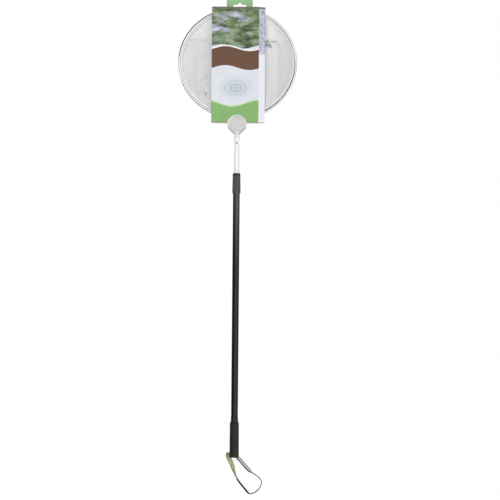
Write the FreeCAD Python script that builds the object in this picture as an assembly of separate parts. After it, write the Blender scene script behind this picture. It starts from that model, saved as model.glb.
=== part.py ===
import FreeCAD, Part
import math
import os

from FreeCAD import Vector

# Telescopic pond net in its folded card sleeve, in millimetres.
# The net stands head up: +Z runs up the pole, the front faces -Y and +X is to the right.
# The origin is on the pole's axis, at the mouth of the inner tube, where the bracket meets it.

X = Vector(1, 0, 0)
Y = Vector(0, 1, 0)
Z = Vector(0, 0, 1)

# Hoop, an oval of slotted tube, and the chamfered square bore that holds the hem's bead
hoop_width = 350.0
hoop_height = 329.0
hoop_tube = 7.0
hoop_bore = 4.8
hoop_bore_chamfer = 1.0
hoop_slot = 1.6
hoop_foot_above_bracket = 20.6
hoop_end_gap = 14.0

# Hem: a bead in the hoop's bore and a tape that comes out of the slot
bead_gap = 0.15
hem_tail = 8.5
hem_thick = 1.0
hem_gap = 0.1
hem_clear_of_bracket = 3.0

# Net bag, folded flat behind the hoop
cloth = 1.2
bag_inside_hoop = 4.5
bag_seam_rise = 66.0
bag_bracket_gap = 0.8
seam_width = 5.0
seam_thick = 0.8
seam_gap = 0.7
# Slices of the bag from left to right: place across the mouth as a share of its half width,
# depth of the lower and of the upper panel, and depth of the seam between them
bag_slices = [
    (-0.985, 6.0, 2.6, 3.5),
    (-0.84, 26.0, 12.0, 13.0),
    (-0.63, 27.0, 17.0, 15.0),
    (-0.47, 13.5, 12.5, 9.0),
    (0.45, 13.5, 12.0, 9.0),
    (0.64, 29.0, 18.0, 16.0),
    (0.84, 27.0, 12.0, 13.0),
    (0.985, 6.0, 2.6, 3.5),
]

# Bracket, two shells that clamp the hoop
bracket_round = 57.5
bracket_centre_z = 38.0
bracket_depth = 17.2
bracket_corner_drop = 18.0
bracket_neck = 15.4
bracket_neck_z = 10.0
bracket_face_rim = 4.5
bracket_face_recess = 1.2
bracket_edge = 2.6
rib_count = 5
rib_thick = 1.6
screw_shank = 3.0
screw_head = 6.0
screw_head_high = 2.2
screw_length = 13.0
screw_gap = 0.1
upper_screw_x = 13.5
upper_screw_z = 43.0
lower_screw_z = 19.0
seat_gap = 0.05

# Spigot between the shells and in the inner tube
spigot_ring = 16.8
spigot_ring_high = 4.5
spigot_stem = 34.0
tongue_wide = 10.0
tongue_thick = 5.0
tongue_top_z = 27.0

# Pole
inner_od = 16.0
inner_wall = 0.8
inner_length = 780.0
inner_foot_room = 93.0
outer_od = 20.0
outer_wall = 1.2
outer_top_z = -135.0
slide_gap = 0.1
rivet_z = -15.6
rivet_shank = 4.0
rivet_head = 5.2
rivet_head_high = 1.0
pip_shank = 2.8
pip_head = 4.4
pip_head_high = 0.9
stop_overlap = 112.0
stop_sleeve_long = 12.0
bush_plug = 15.0
bush_flange = 12.0
bush_wall = 1.6

# Twist lock
collar_top_z = -104.3
collar_long = 60.0
collar_top_od = 22.5
collar_low_od = 24.6
collar_chamfer = 3.4
collar_lip = 1.5
collar_flutes = 14
flute_size = 1.5
flute_deep = 0.45
flute_below_top = 7.0
flute_above_bottom = 12.0
collar_edge = 1.2
collar_lead = 0.35
collet_wall = 1.6
collet_skirt_wall = 0.7
collet_top_z = -108.4
collet_shoulder = 2.0
collet_skirt = 23.0
collet_tip_in = 0.8
collet_tip_high = 1.5
collet_slits = 6
slit_wide = 1.5
slit_foot = 4.0
wiper_od = 17.4
wiper_high = 6.1
wiper_flange_od = 19.0
wiper_flange = 2.0
wiper_edge = 0.5
pip_rest_gap = 0.3

# Grip, end plug and strap
grip_past_tube = 26.6
grip_long = 119.6
grip_neck_long = 12.5
grip_top_od = 26.6
grip_low_od = 27.6
grip_neck_od = 20.9
grip_edge = 2.5
grip_neck_draft = 0.3
grip_shoulder_high = 6.5
grip_shoulder_round = 2.1
plug_stem = 30.0
pin_size = 4.0
pin_short_of_tube = 0.5
pin_below_tube = 17.5
strap_wide = 14.0
strap_thick = 1.6
strap_gap = 0.4
strap_exit_flare = 6.0
strap_exit_flare_high = 5.0
# The strap's line as (right of, above) its pin: from the top of the pin out at the left, round
# the hand loop and back up to the pin's right side
strap_route = [
    (-1.0, 2.9),
    (-9.5, 3.3),
    (-19.6, 1.2),
    (-16.0, -8.9),
    (-7.4, -26.0),
    (0.8, -50.5),
    (14.5, -75.5),
    (31.5, -98.0),
    (44.0, -117.0),
    (60.5, -113.5),
    (76.5, -99.0),
    (82.0, -78.0),
    (72.5, -57.0),
    (56.0, -45.5),
    (43.0, -43.5),
    (29.4, -29.6),
    (17.2, -14.0),
    (7.8, -9.5),
    (3.4, -4.9),
    (2.9, 0.3),
]

# Card sleeve
card = 0.6
card_left = -76.0
card_right = 62.5
card_bottom_z = 44.0
card_front_y = -12.0
flap_out = 18.5
flap_gap = 0.5
back_inner_y = 17.0
back_side_gap = 0.4
glue_flap = 26.0
notch_gap = 1.0
hoop_seat_gap = 0.3
tab_wide = 77.0
tab_centre_x = 5.0
tab_high = 33.0
tab_corner = 7.0
hook_slot_wide = 38.0
hook_slot_high = 6.8
hook_bump = 6.0
hook_slot_above_fold = 6.2
staple_wire = 0.7
staple_wide = 12.0
staple_leg = 4.0
staple_hole_gap = 0.05
staple_x = 38.0


def ring(r_out, r_in, z_low, high):
    """A plain ring about the pole's axis."""
    outer = Part.makeCylinder(r_out, high, Vector(0, 0, z_low))
    return outer.cut(Part.makeCylinder(r_in, high, Vector(0, 0, z_low)))


def turned(points):
    """A solid turned about the pole's axis from a closed outline of (radius, height)."""
    wire = Part.makePolygon([Vector(r, 0, z) for r, z in points + points[:1]])
    return Part.Face(wire).revolve(Vector(0, 0, 0), Z, 360)


def box(x_low, x_high, y_low, y_high, z_low, z_high):
    return Part.makeBox(x_high - x_low, y_high - y_low, z_high - z_low, Vector(x_low, y_low, z_low))


def across(r, y_low, y_high, x, z):
    """A round bar or bore along Y."""
    return Part.makeCylinder(r, y_high - y_low, Vector(x, y_low, z), Y)


def joined(shapes):
    whole = shapes[0]
    for piece in shapes[1:]:
        whole = whole.fuse(piece)
    return whole.removeSplitter()


# Hoop and hem

bracket_r = bracket_round / 2
hoop_a = (hoop_width - hoop_tube) / 2
hoop_b = (hoop_height - hoop_tube) / 2
hoop_centre_z = bracket_centre_z + hoop_foot_above_bracket + hoop_b

# The oval is four tangent quarter turns. The bottom and top ones have their centres above and
# below its middle, and the side ones the same distance to the right and left.
oval_shift = (hoop_a - hoop_b) * (1 + math.sqrt(0.5))
low_r = hoop_b + oval_shift
side_r = hoop_a - oval_shift


def oval_arcs(start_x):
    """(centre x, centre height, radius, from, to) in degrees, all round but for start_x at the foot."""
    start = math.degrees(math.asin(start_x / low_r))
    return [
        (0, oval_shift, low_r, start - 90, -45),
        (oval_shift, 0, side_r, -45, 45),
        (0, -oval_shift, low_r, 45, 135),
        (-oval_shift, 0, side_r, 135, 225),
        (0, oval_shift, low_r, 225, 270 - start),
    ]


def turn_arc(outline, arc):
    """Turns an outline of (inwards, back) points along one arc of the hoop's oval."""
    x, z, r, first, last = arc
    centre = Vector(x, 0, hoop_centre_z + z)
    out = Vector(math.cos(math.radians(first)), 0, math.sin(math.radians(first)))
    edges = []
    for kind, *pts in outline:
        pts = [centre + out * (r - inwards) + Y * back for inwards, back in pts]
        edges.append(Part.LineSegment(*pts) if kind == "line" else Part.Arc(*pts))
    face = Part.Face(Part.Wire([e.toShape() for e in edges]))
    return face.revolve(centre, Y * -1, last - first)


def along_hoop(outline, start_x):
    """The outline turned all along the hoop, from start_x right of its foot to start_x left of it."""
    return joined([turn_arc(outline, arc) for arc in oval_arcs(start_x)])


def round_outline(r):
    return [("arc", (r, 0), (0, r), (-r, 0)), ("arc", (-r, 0), (0, -r), (r, 0))]


def bore_corners(half, chamfer):
    """The corners of a chamfered square, from its inner face all the way round."""
    flat = half - chamfer
    back_half = [(half, flat), (flat, half), (-flat, half), (-half, flat)]
    return back_half + [(inwards, -back) for inwards, back in reversed(back_half)]


def make_hoop():
    r, half = hoop_tube / 2, hoop_slot / 2
    mouth = math.sqrt(r * r - half * half)
    bore = hoop_bore / 2
    inside = [(mouth, half), (bore, half)]
    inside += bore_corners(bore, hoop_bore_chamfer)
    inside += [(bore, -half), (mouth, -half)]
    channel = [("arc", (mouth, -half), (-r, 0), (mouth, half))]
    channel += [("line", p, q) for p, q in zip(inside, inside[1:])]
    return along_hoop(channel, hoop_end_gap / 2)


hem_start = bracket_r + hem_clear_of_bracket


def make_bead():
    """Cord pressed square by the bore that holds it."""
    corners = bore_corners(hoop_bore / 2 - bead_gap, hoop_bore_chamfer)
    sides = [("line", p, q) for p, q in zip(corners, corners[1:] + corners[:1])]
    return along_hoop(sides, hem_start)


def make_hem():
    half, root, tip = hem_thick / 2, hoop_bore / 2 - bead_gap + hem_gap, hoop_tube / 2 + hem_tail
    corners = [(root, half), (tip, half), (tip, -half), (root, -half)]
    sides = [("line", p, q) for p, q in zip(corners, corners[1:] + corners[:1])]
    return along_hoop(sides, hem_start)


# Net bag

bag_a = hoop_a - bag_inside_hoop
bag_b = hoop_b - bag_inside_hoop
bag_front_y = hem_thick / 2 + hem_gap


def seam_height(share):
    return hoop_centre_z + min(bag_seam_rise, 0.8 * bag_b * math.sqrt(1 - share * share))


def bag_slice(share, low_depth, high_depth, seam_depth, inset):
    """One closed slice of the bag: mouth line, lower bulge, seam and upper bulge."""
    x = (bag_a - inset) * share
    half = bag_b * math.sqrt(1 - share * share) - inset
    low, high = hoop_centre_z - half, hoop_centre_z + half
    seam_z = seam_height(share)
    back = bag_front_y - inset
    low_mid = Vector(x, back + low_depth, low + 0.42 * (seam_z - low))
    high_mid = Vector(x, back + high_depth, high - 0.45 * (high - seam_z))
    seam = Vector(x, back + seam_depth, seam_z)
    bottom, top = Vector(x, bag_front_y, low), Vector(x, bag_front_y, high)
    edges = [Part.Arc(bottom, low_mid, seam), Part.Arc(seam, high_mid, top)]
    if inset:
        ahead = Vector(0, -inset, 0)
        edges.append(Part.LineSegment(top, top + ahead))
        edges.append(Part.LineSegment(top + ahead, bottom + ahead))
        edges.append(Part.LineSegment(bottom + ahead, bottom))
    else:
        edges.append(Part.LineSegment(top, bottom))
    return Part.Wire([e.toShape() for e in edges])


def make_bag():
    outer = Part.makeLoft([bag_slice(*s, 0.0) for s in bag_slices], True, True)
    inner = Part.makeLoft([bag_slice(*s, cloth) for s in bag_slices], True, True)
    drawn_up = across(bracket_r + bag_bracket_gap, -hoop_tube, hoop_tube * 3, 0, bracket_centre_z)
    return outer.cut(inner).cut(drawn_up)


def make_seam():
    slices = []
    for share, low_depth, high_depth, seam_depth in bag_slices[1:-1]:
        x, z = bag_a * share, seam_height(share)
        y = bag_front_y + seam_depth - cloth - seam_gap
        corners = [
            Vector(x, y, z - seam_width / 2),
            Vector(x, y, z + seam_width / 2),
            Vector(x, y - seam_thick, z + seam_width / 2),
            Vector(x, y - seam_thick, z - seam_width / 2),
        ]
        slices.append(Part.makePolygon(corners + corners[:1]))
    return Part.makeLoft(slices, True, True)


# Bracket, spigot and their screws

bracket_half = bracket_depth / 2
screw_places = [
    (-upper_screw_x, upper_screw_z),
    (upper_screw_x, upper_screw_z),
    (0.0, lower_screw_z),
]
screw_head_y = bracket_half - bracket_face_recess
screw_tip_y = screw_head_y - screw_length


def bracket_outline(inset):
    """The bracket's spoon outline, drawn in by inset: a round head and two straight tapers."""
    r = bracket_r - inset
    drop = math.radians(bracket_corner_drop)
    corner_x = r * math.cos(drop)
    corner_z = bracket_centre_z - r * math.sin(drop)
    neck_x = bracket_neck / 2 - inset * 0.6
    neck_z = bracket_neck_z + inset
    left, right = Vector(-corner_x, 0, corner_z), Vector(corner_x, 0, corner_z)
    low_left, low_right = Vector(-neck_x, 0, neck_z), Vector(neck_x, 0, neck_z)
    top = Vector(0, 0, bracket_centre_z + r)
    return Part.Wire(
        [
            Part.Arc(right, top, left).toShape(),
            Part.LineSegment(left, low_left).toShape(),
            Part.LineSegment(low_left, low_right).toShape(),
            Part.LineSegment(low_right, right).toShape(),
        ]
    )


def bracket_block():
    """Both shells as one rounded block."""
    steps = [(bracket_edge, bracket_half), (bracket_edge * 0.3, bracket_half - bracket_edge * 0.3)]
    steps.append((0.0, bracket_half - bracket_edge))
    steps += [(inset, -y) for inset, y in reversed(steps)]
    layers = []
    for inset, y in steps:
        wire = bracket_outline(inset)
        wire.translate(Vector(0, y, 0))
        layers.append(wire)
    return Part.makeLoft(layers, True, True)


def face_recess():
    """The sunk face inside the front rim, with the ribs that run down to the neck left standing."""
    front = Part.Face(bracket_outline(bracket_face_rim)).extrude(Vector(0, bracket_half, 0))
    front.translate(Vector(0, -bracket_half * 2 + bracket_face_recess, 0))
    spread = bracket_r * 0.9
    for k in range(rib_count):
        x = (k - (rib_count - 1) / 2) / ((rib_count - 1) / 2)
        foot = Vector(x * bracket_neck * 0.3, 0, bracket_neck_z)
        head = Vector(x * spread * 0.72, 0, bracket_centre_z - bracket_r * 0.34 - abs(x) * 2)
        side = (head - foot).normalize().cross(Y) * (rib_thick / 2)
        y = Vector(0, -bracket_depth, 0)
        corners = [foot + side + y, head + side + y, head - side + y, foot - side + y]
        rib = Part.makePolygon(corners + corners[:1])
        front = front.cut(Part.Face(rib).extrude(Vector(0, bracket_depth, 0)))
    return front


def tongue(gap):
    x, y = tongue_wide / 2 + gap, tongue_thick / 2 + gap
    return box(-x, x, -y, y, spigot_ring_high, tongue_top_z + gap)


def bracket_cavities():
    """Channels for the hoop's two ends, with a rib left between them, and the tongue's seat."""
    seat = round_outline(hoop_tube / 2 + seat_gap)
    near = math.degrees(math.asin((hoop_end_gap / 2 - seat_gap) / low_r))
    far = math.degrees(math.asin((bracket_r + hoop_tube) / low_r))
    right = turn_arc(seat, (0, oval_shift, low_r, near - 90, far - 90))
    left = turn_arc(seat, (0, oval_shift, low_r, 270 - far, 270 - near))
    return [right, left, tongue(seat_gap)]


def make_bracket(front):
    half = bracket_r + hoop_tube
    y_low, y_high = (-bracket_depth, 0.0) if front else (0.0, bracket_depth)
    shell = bracket_block().common(box(-half, half, y_low, y_high, 0, bracket_centre_z + half))
    for cavity in bracket_cavities():
        shell = shell.cut(cavity)
    if front:
        shell = shell.cut(face_recess())
    for x, z in screw_places:
        bore = screw_shank / 2 + screw_gap
        shell = shell.cut(across(bore, screw_tip_y - screw_gap, bracket_half, x, z))
        head = screw_head / 2 + screw_gap
        shell = shell.cut(across(head, screw_head_y - screw_head_high, bracket_half + 1, x, z))
    return shell


def make_screws():
    screws = []
    for x, z in screw_places:
        shank = across(screw_shank / 2, screw_tip_y, screw_head_y - screw_head_high, x, z)
        head = across(screw_head / 2, screw_head_y - screw_head_high, screw_head_y, x, z)
        screws.append(joined([shank, head]))
    return Part.makeCompound(screws)


outer_bottom_z = -(inner_length + bush_flange + inner_foot_room + plug_stem)
grip_bottom_z = outer_bottom_z - grip_past_tube
grip_neck_top_z = grip_bottom_z + grip_long
grip_shoulder_z = grip_neck_top_z - grip_neck_long
pin_z = outer_bottom_z - pin_below_tube
inner_r = inner_od / 2
inner_id_r = inner_r - inner_wall
outer_r = outer_od / 2
outer_id_r = outer_r - outer_wall


def make_spigot():
    stem = Part.makeCylinder(inner_id_r - seat_gap, spigot_stem, Vector(0, 0, -spigot_stem))
    collar = Part.makeCylinder(spigot_ring / 2, spigot_ring_high)
    neck = Part.makeCylinder(bracket_neck / 2 - 0.4, bracket_neck_z - spigot_ring_high, Z * spigot_ring_high)
    body = joined([stem, collar, neck, tongue(0.0)])
    body = body.cut(across(rivet_shank / 2 + seat_gap, -inner_r, inner_r, 0, rivet_z))
    return body.cut(across(screw_shank / 2 + screw_gap, -inner_r, inner_r, 0, lower_screw_z))


# Pole

def make_inner_tube():
    tube = ring(inner_r, inner_id_r, -inner_length, inner_length)
    tube = tube.cut(across(rivet_shank / 2 + seat_gap, -inner_r, inner_r, 0, rivet_z))
    return tube.cut(across(pip_shank / 2 + seat_gap, -inner_r, 0, 0, pip_z))


wiper_top_z = collar_top_z + wiper_high
pip_z = wiper_top_z + pip_rest_gap + pip_head / 2


def rivet_dome(r, high, y, z, front):
    """A low domed rivet head that stands off the tube at y."""
    sign = -1 if front else 1
    rise = high * sign
    base, shoulder, crown = Vector(r, y, z), Vector(r * 0.8, y + rise * 0.7, z), Vector(0, y + rise, z)
    edge = Part.Arc(base, shoulder, crown).toShape()
    close = [Part.LineSegment(crown, Vector(0, y - rise, z)).toShape()]
    close.append(Part.LineSegment(Vector(0, y - rise, z), Vector(r, y - rise, z)).toShape())
    close.append(Part.LineSegment(Vector(r, y - rise, z), base).toShape())
    return Part.Face(Part.Wire([edge] + close)).revolve(Vector(0, y, z), Y, 360)


def make_spigot_rivet():
    shank = across(rivet_shank / 2, -inner_r, inner_r, 0, rivet_z)
    seat = inner_r
    heads = [rivet_dome(rivet_head / 2, rivet_head_high, s * seat, rivet_z, s < 0) for s in (-1, 1)]
    tube = Part.makeCylinder(inner_r, rivet_head * 2, Vector(0, 0, rivet_z - rivet_head))
    return joined([shank] + [h.cut(tube) for h in heads])


def make_stop_pip():
    shank = across(pip_shank / 2, -inner_r, -inner_id_r + pip_head_high, 0, pip_z)
    head = rivet_dome(pip_head / 2, pip_head_high, -inner_r, pip_z, True)
    tube = Part.makeCylinder(inner_r, pip_head * 2, Vector(0, 0, pip_z - pip_head))
    return joined([shank, head.cut(tube)])


stop_sleeve_top_z = stop_overlap - inner_length
bush_top_z = -inner_length


def make_stop_sleeve():
    return ring(outer_id_r - slide_gap, inner_r, stop_sleeve_top_z - stop_sleeve_long, stop_sleeve_long)


def make_inner_bush():
    plug = Part.makeCylinder(inner_id_r - seat_gap, bush_plug, Vector(0, 0, bush_top_z))
    flange = Part.makeCylinder(outer_id_r - slide_gap, bush_flange, Vector(0, 0, bush_top_z - bush_flange))
    bottom = Vector(0, 0, bush_top_z - bush_flange)
    bore = Part.makeCylinder(inner_id_r - bush_wall, bush_plug + bush_flange, bottom)
    return joined([plug, flange]).cut(bore)


def make_outer_tube():
    return ring(outer_r, outer_id_r, outer_bottom_z, outer_top_z - outer_bottom_z)


collet_r = inner_r + slide_gap
finger_r = collet_r + collet_wall
skirt_r = outer_r + collet_skirt_wall


def make_collet():
    """Clamp sleeve: fingers round the inner tube, a shoulder on the outer tube and a skirt."""
    foot_z = outer_top_z + collet_shoulder
    body = turned(
        [
            (collet_r, outer_top_z),
            (collet_r, collet_top_z),
            (finger_r - collet_tip_in, collet_top_z),
            (finger_r, collet_top_z - collet_tip_high),
            (finger_r, foot_z),
            (skirt_r, foot_z),
            (skirt_r, outer_top_z - collet_skirt),
            (outer_r, outer_top_z - collet_skirt),
            (outer_r, outer_top_z),
        ]
    )
    slit_low = foot_z + slit_foot
    slit = box(0, finger_r + 1, -slit_wide / 2, slit_wide / 2, slit_low, collet_top_z + 1)
    for k in range(collet_slits):
        one = slit.copy()
        one.rotate(Vector(0, 0, 0), Z, 360.0 * k / collet_slits)
        body = body.cut(one)
    return body


collar_top_r = collar_top_od / 2
collar_low_r = collar_low_od / 2
collar_bottom_z = collar_top_z - collar_long


def make_lock_collar():
    """Fluted nut: a mouth for the wiper, a bore round the fingers and one round the skirt."""
    mouth = wiper_flange_od / 2 + seat_gap
    lip_z = collar_top_z - wiper_flange - collar_lip
    body = turned(
        [
            (mouth, collar_top_z),
            (collar_top_r - collar_edge, collar_top_z),
            (collar_top_r - collar_edge * 0.3, collar_top_z - collar_edge * 0.4),
            (collar_top_r, collar_top_z - collar_edge * 1.5),
            (collar_low_r, collar_bottom_z + collar_chamfer),
            (skirt_r + slide_gap + collar_lead, collar_bottom_z),
            (skirt_r + slide_gap, collar_bottom_z),
            (skirt_r + slide_gap, outer_top_z + collet_shoulder + slide_gap),
            (finger_r + slide_gap, outer_top_z + collet_shoulder + slide_gap),
            (finger_r + slide_gap, lip_z),
            (collet_r + collar_lead, lip_z),
            (collet_r + collar_lead, collar_top_z - wiper_flange),
            (mouth, collar_top_z - wiper_flange),
        ]
    )
    lean = math.degrees(math.atan((collar_low_r - collar_top_r) / collar_long))
    flute_top = collar_top_z - flute_below_top
    flute_low = collar_bottom_z + flute_above_bottom
    for k in range(collar_flutes):
        r_low = collar_top_r + (collar_low_r - collar_top_r) * (collar_top_z - flute_low) / collar_long
        centre = r_low + flute_size / 2 - flute_deep
        flute = Part.makeCylinder(flute_size / 2, flute_top - flute_low, Vector(centre, 0, flute_low))
        flute.rotate(Vector(centre, 0, flute_low), Y, -lean)
        flute.rotate(Vector(0, 0, 0), Z, 360.0 * k / collar_flutes)
        body = body.cut(flute)
    return body


def make_wiper():
    """White ring seated in the collar's mouth, running on the inner tube."""
    edge = wiper_od / 2
    return turned(
        [
            (collet_r, collar_top_z - wiper_flange),
            (wiper_flange_od / 2, collar_top_z - wiper_flange),
            (wiper_flange_od / 2, collar_top_z),
            (edge, collar_top_z),
            (edge, wiper_top_z - wiper_edge),
            (edge - wiper_edge, wiper_top_z),
            (collet_r, wiper_top_z),
        ]
    )


# Grip, plug and strap

def make_strap_channel():
    """The passage that the strap takes: in at the left above the pin, out at the flared mouth below."""
    wide = strap_wide / 2 + strap_gap
    beside = strap_thick / 2 + strap_gap
    reach = grip_low_od / 2 + 1
    start_z = pin_z + strap_route[0][1]
    end_x = strap_route[-1][0]
    mouth_z = grip_bottom_z + strap_exit_flare_high * 1.2
    low_z = grip_bottom_z - strap_exit_flare_high
    outline = [
        (-reach, start_z + beside),
        (end_x + beside, start_z + beside),
        (end_x + beside, mouth_z),
        (end_x + beside + strap_exit_flare * 2, low_z),
        (end_x - beside, low_z),
        (end_x - beside, start_z - beside),
        (-reach, start_z - beside * 1.6),
    ]
    wire = Part.makePolygon([Vector(x, -wide, z) for x, z in outline + outline[:1]])
    return Part.Face(wire).extrude(Vector(0, wide * 2, 0))


def make_grip():
    """Moulded grip: a thin neck on the tube, a sloped shoulder and a long swelling body."""
    top_r, low_r, bore = grip_top_od / 2, grip_low_od / 2, outer_r + seat_gap
    shoulder_foot_z = grip_shoulder_z - grip_shoulder_high
    body = turned(
        [
            (bore, grip_neck_top_z),
            (grip_neck_od / 2, grip_neck_top_z),
            (grip_neck_od / 2 + grip_neck_draft, grip_shoulder_z),
            (top_r - grip_shoulder_round / 2, shoulder_foot_z + grip_shoulder_round),
            (top_r, shoulder_foot_z),
            (low_r, grip_bottom_z + grip_edge),
            (low_r - grip_edge * 0.3, grip_bottom_z + grip_edge * 0.3),
            (low_r - grip_edge, grip_bottom_z),
            (bore, grip_bottom_z),
        ]
    )
    return body.cut(make_strap_channel())


def make_end_plug():
    stem = Part.makeCylinder(outer_id_r - seat_gap, plug_stem, Vector(0, 0, outer_bottom_z))
    foot = Part.makeCylinder(outer_r, outer_bottom_z - grip_bottom_z, Vector(0, 0, grip_bottom_z))
    plug = joined([stem, foot]).cut(make_strap_channel())
    return plug.cut(across(pin_size / 2 + seat_gap, -outer_od, outer_od, 0, pin_z))


def make_strap_pin():
    half = outer_r - pin_short_of_tube
    return across(pin_size / 2, -half, half, 0, pin_z)


def rounded_path(points):
    """Straight runs joined by tangent arcs, each as large as its two runs allow."""
    pts = [Vector(x, 0, pin_z + z) for x, z in points]
    edges, radii, here = [], [], pts[0]
    for before, corner, after in zip(pts, pts[1:], pts[2:]):
        run_in, run_out = corner - before, after - corner
        turn = run_in.getAngle(run_out)
        reach = 0.45 * min(run_in.Length, run_out.Length)
        radii.append(reach / math.tan(turn / 2))
        to_before = (before - corner).normalize()
        to_after = (after - corner).normalize()
        first, last = corner + to_before * reach, corner + to_after * reach
        bisector = (to_before + to_after).normalize()
        middle = corner + bisector * (radii[-1] / math.cos(turn / 2) - radii[-1])
        edges.append(Part.LineSegment(here, first).toShape())
        edges.append(Part.Arc(first, middle, last).toShape())
        here = last
    edges.append(Part.LineSegment(here, pts[-1]).toShape())
    return Part.Wire(edges), radii


def make_strap():
    """Flat webbing along its line, its width running front to back."""
    line, radii = rounded_path(strap_route)
    print("strap radii", [round(r, 1) for r in radii])
    start = Vector(strap_route[0][0], 0, pin_z + strap_route[0][1])
    across_run = (line.Edges[0].tangentAt(0)).cross(Y).normalize() * (strap_thick / 2)
    half = Y * (strap_wide / 2)
    section = Part.makePolygon(
        [
            start + across_run + half,
            start - across_run + half,
            start - across_run - half,
            start + across_run - half,
            start + across_run + half,
        ]
    )
    sweep = Part.BRepOffsetAPI.MakePipeShell(line)
    sweep.setBiNormalMode(Y)
    sweep.add(section)
    sweep.build()
    sweep.makeSolid()
    band = sweep.shape()
    print("strap length", round(line.Length, 1), "volume", round(band.Volume, 1),
          "section times length", round(line.Length * strap_wide * strap_thick, 1))
    return band


# Card sleeve

fold_z = hoop_centre_z + hoop_height / 2 + hoop_seat_gap
flap_y = -hoop_tube / 2 - flap_gap
front_inner_y = card_front_y + card
back_outer_y = back_inner_y + card


staple_xs = (tab_centre_x - staple_x, tab_centre_x + staple_x)
staple_z = fold_z - glue_flap / 2


def staple_legs(x, gap):
    """The two legs of a staple, or with a gap the holes that they make in the card."""
    r, half = staple_wire / 2 + gap, staple_wide / 2
    y_low, y_high = back_inner_y - card - staple_wire, back_outer_y + staple_wire
    return [box(c - r, c + r, y_low, y_high, staple_z - r, staple_z + r) for c in (x - half, x + half)]


def staple_holes():
    return Part.makeCompound([leg for x in staple_xs for leg in staple_legs(x, staple_hole_gap)])


def make_sleeve_front():
    """One folded card: front panel, side flaps, top fold and the glue flap behind."""
    panel = box(card_left, card_right, card_front_y, front_inner_y, card_bottom_z, fold_z + card)
    notch = across(bracket_r + notch_gap, card_front_y - 1, front_inner_y + 1, 0, bracket_centre_z)
    panel = panel.cut(notch)
    left = box(card_left, card_left + card, front_inner_y, flap_y, card_bottom_z, fold_z)
    slope = [
        Vector(card_right, card_front_y, card_bottom_z),
        Vector(card_right + flap_out, flap_y - card, card_bottom_z),
        Vector(card_right + flap_out, flap_y, card_bottom_z),
        Vector(card_right - card, front_inner_y, card_bottom_z),
    ]
    right = Part.Face(Part.makePolygon(slope + slope[:1])).extrude(Z * (fold_z - card_bottom_z))
    top = box(card_left, card_right, front_inner_y, back_inner_y, fold_z, fold_z + card)
    glue = box(card_left, card_right, back_inner_y - card, back_inner_y, fold_z - glue_flap, fold_z)
    sleeve = joined([panel, left, right, top, glue])
    return sleeve.cut(staple_holes())


def hook_slot():
    """Shop-hook slot: a wide slot with round ends and a round bump above its middle."""
    z = fold_z + hook_slot_above_fold
    r = hook_slot_high / 2
    y_low, y_high = back_inner_y - 1, back_outer_y + 1
    reach = hook_slot_wide / 2 - r
    parts = [box(tab_centre_x - reach, tab_centre_x + reach, y_low, y_high, z - r, z + r)]
    parts += [across(r, y_low, y_high, tab_centre_x + s * reach, z) for s in (-1, 1)]
    parts.append(across(hook_bump, y_low, y_high, tab_centre_x, z + hook_bump - r))
    return joined(parts)


def make_sleeve_back():
    """Back panel that runs up past the fold as the hang tab."""
    left, right = card_left + back_side_gap, card_right + flap_out / 2
    panel = box(left, right, back_inner_y, back_outer_y, card_bottom_z, fold_z + card)
    low, high = tab_centre_x - tab_wide / 2, tab_centre_x + tab_wide / 2
    top = fold_z + tab_high
    tab = box(low, high, back_inner_y, back_outer_y, fold_z, top)
    corners = [e for e in tab.Edges if abs(e.CenterOfMass.z - top) < 0.01 and e.Length < card * 1.5]
    back = joined([panel, tab.makeFillet(tab_corner, corners)]).cut(hook_slot())
    return back.cut(staple_holes())


def make_staples():
    """Two flat wire staples through the glue flap and the back panel, their tips bent inwards."""
    r, half = staple_wire / 2, staple_wide / 2
    z_low, z_high = staple_z - r, staple_z + r
    tip_y = back_inner_y - card - staple_wire
    staples = []
    for x in staple_xs:
        left, right = x - half - r, x + half + r
        crown = box(left, right, back_outer_y, back_outer_y + staple_wire, z_low, z_high)
        left_tip = box(left, left + staple_leg, tip_y, tip_y + staple_wire, z_low, z_high)
        right_tip = box(right - staple_leg, right, tip_y, tip_y + staple_wire, z_low, z_high)
        staples.append(joined([crown, left_tip, right_tip] + staple_legs(x, 0.0)))
    return Part.makeCompound(staples)


def main():
    nodes = {
        "hoop": make_hoop(),
        "bead_cord": make_bead(),
        "hem_tape": make_hem(),
        "net_bag": make_bag(),
        "seam_tape": make_seam(),
        "bracket_front": make_bracket(True),
        "bracket_rear": make_bracket(False),
        "bracket_screws": make_screws(),
        "spigot": make_spigot(),
        "spigot_rivet": make_spigot_rivet(),
        "inner_tube": make_inner_tube(),
        "stop_pip": make_stop_pip(),
        "stop_sleeve": make_stop_sleeve(),
        "inner_bush": make_inner_bush(),
        "outer_tube": make_outer_tube(),
        "collet": make_collet(),
        "lock_collar": make_lock_collar(),
        "wiper_ring": make_wiper(),
        "grip": make_grip(),
        "end_plug": make_end_plug(),
        "strap_pin": make_strap_pin(),
        "wrist_strap": make_strap(),
        "sleeve_front": make_sleeve_front(),
        "sleeve_back": make_sleeve_back(),
        "sleeve_staples": make_staples(),
    }
    os.makedirs("parts", exist_ok=True)
    for name, shape in nodes.items():
        shape.exportStep(f"parts/{name}.step")
        b = shape.BoundBox
        print(
            f"{name:15s} solids {len(shape.Solids)} valid {shape.isValid()} volume {shape.Volume:10.1f}"
            f"  x {b.XMin:.1f} {b.XMax:.1f}  y {b.YMin:.1f} {b.YMax:.1f}  z {b.ZMin:.1f} {b.ZMax:.1f}"
        )


main()
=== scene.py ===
"""Looks of a telescopic pond net in its printed card sleeve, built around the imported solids.

Places and sizes are in metres in the solids' own frame: +Z up the pole, -Y towards the viewer.
Finishes, and tables that say so, are in millimetres in the same frame.
"""

import math

import bpy
from mathutils import Matrix, Vector, noise


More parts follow.
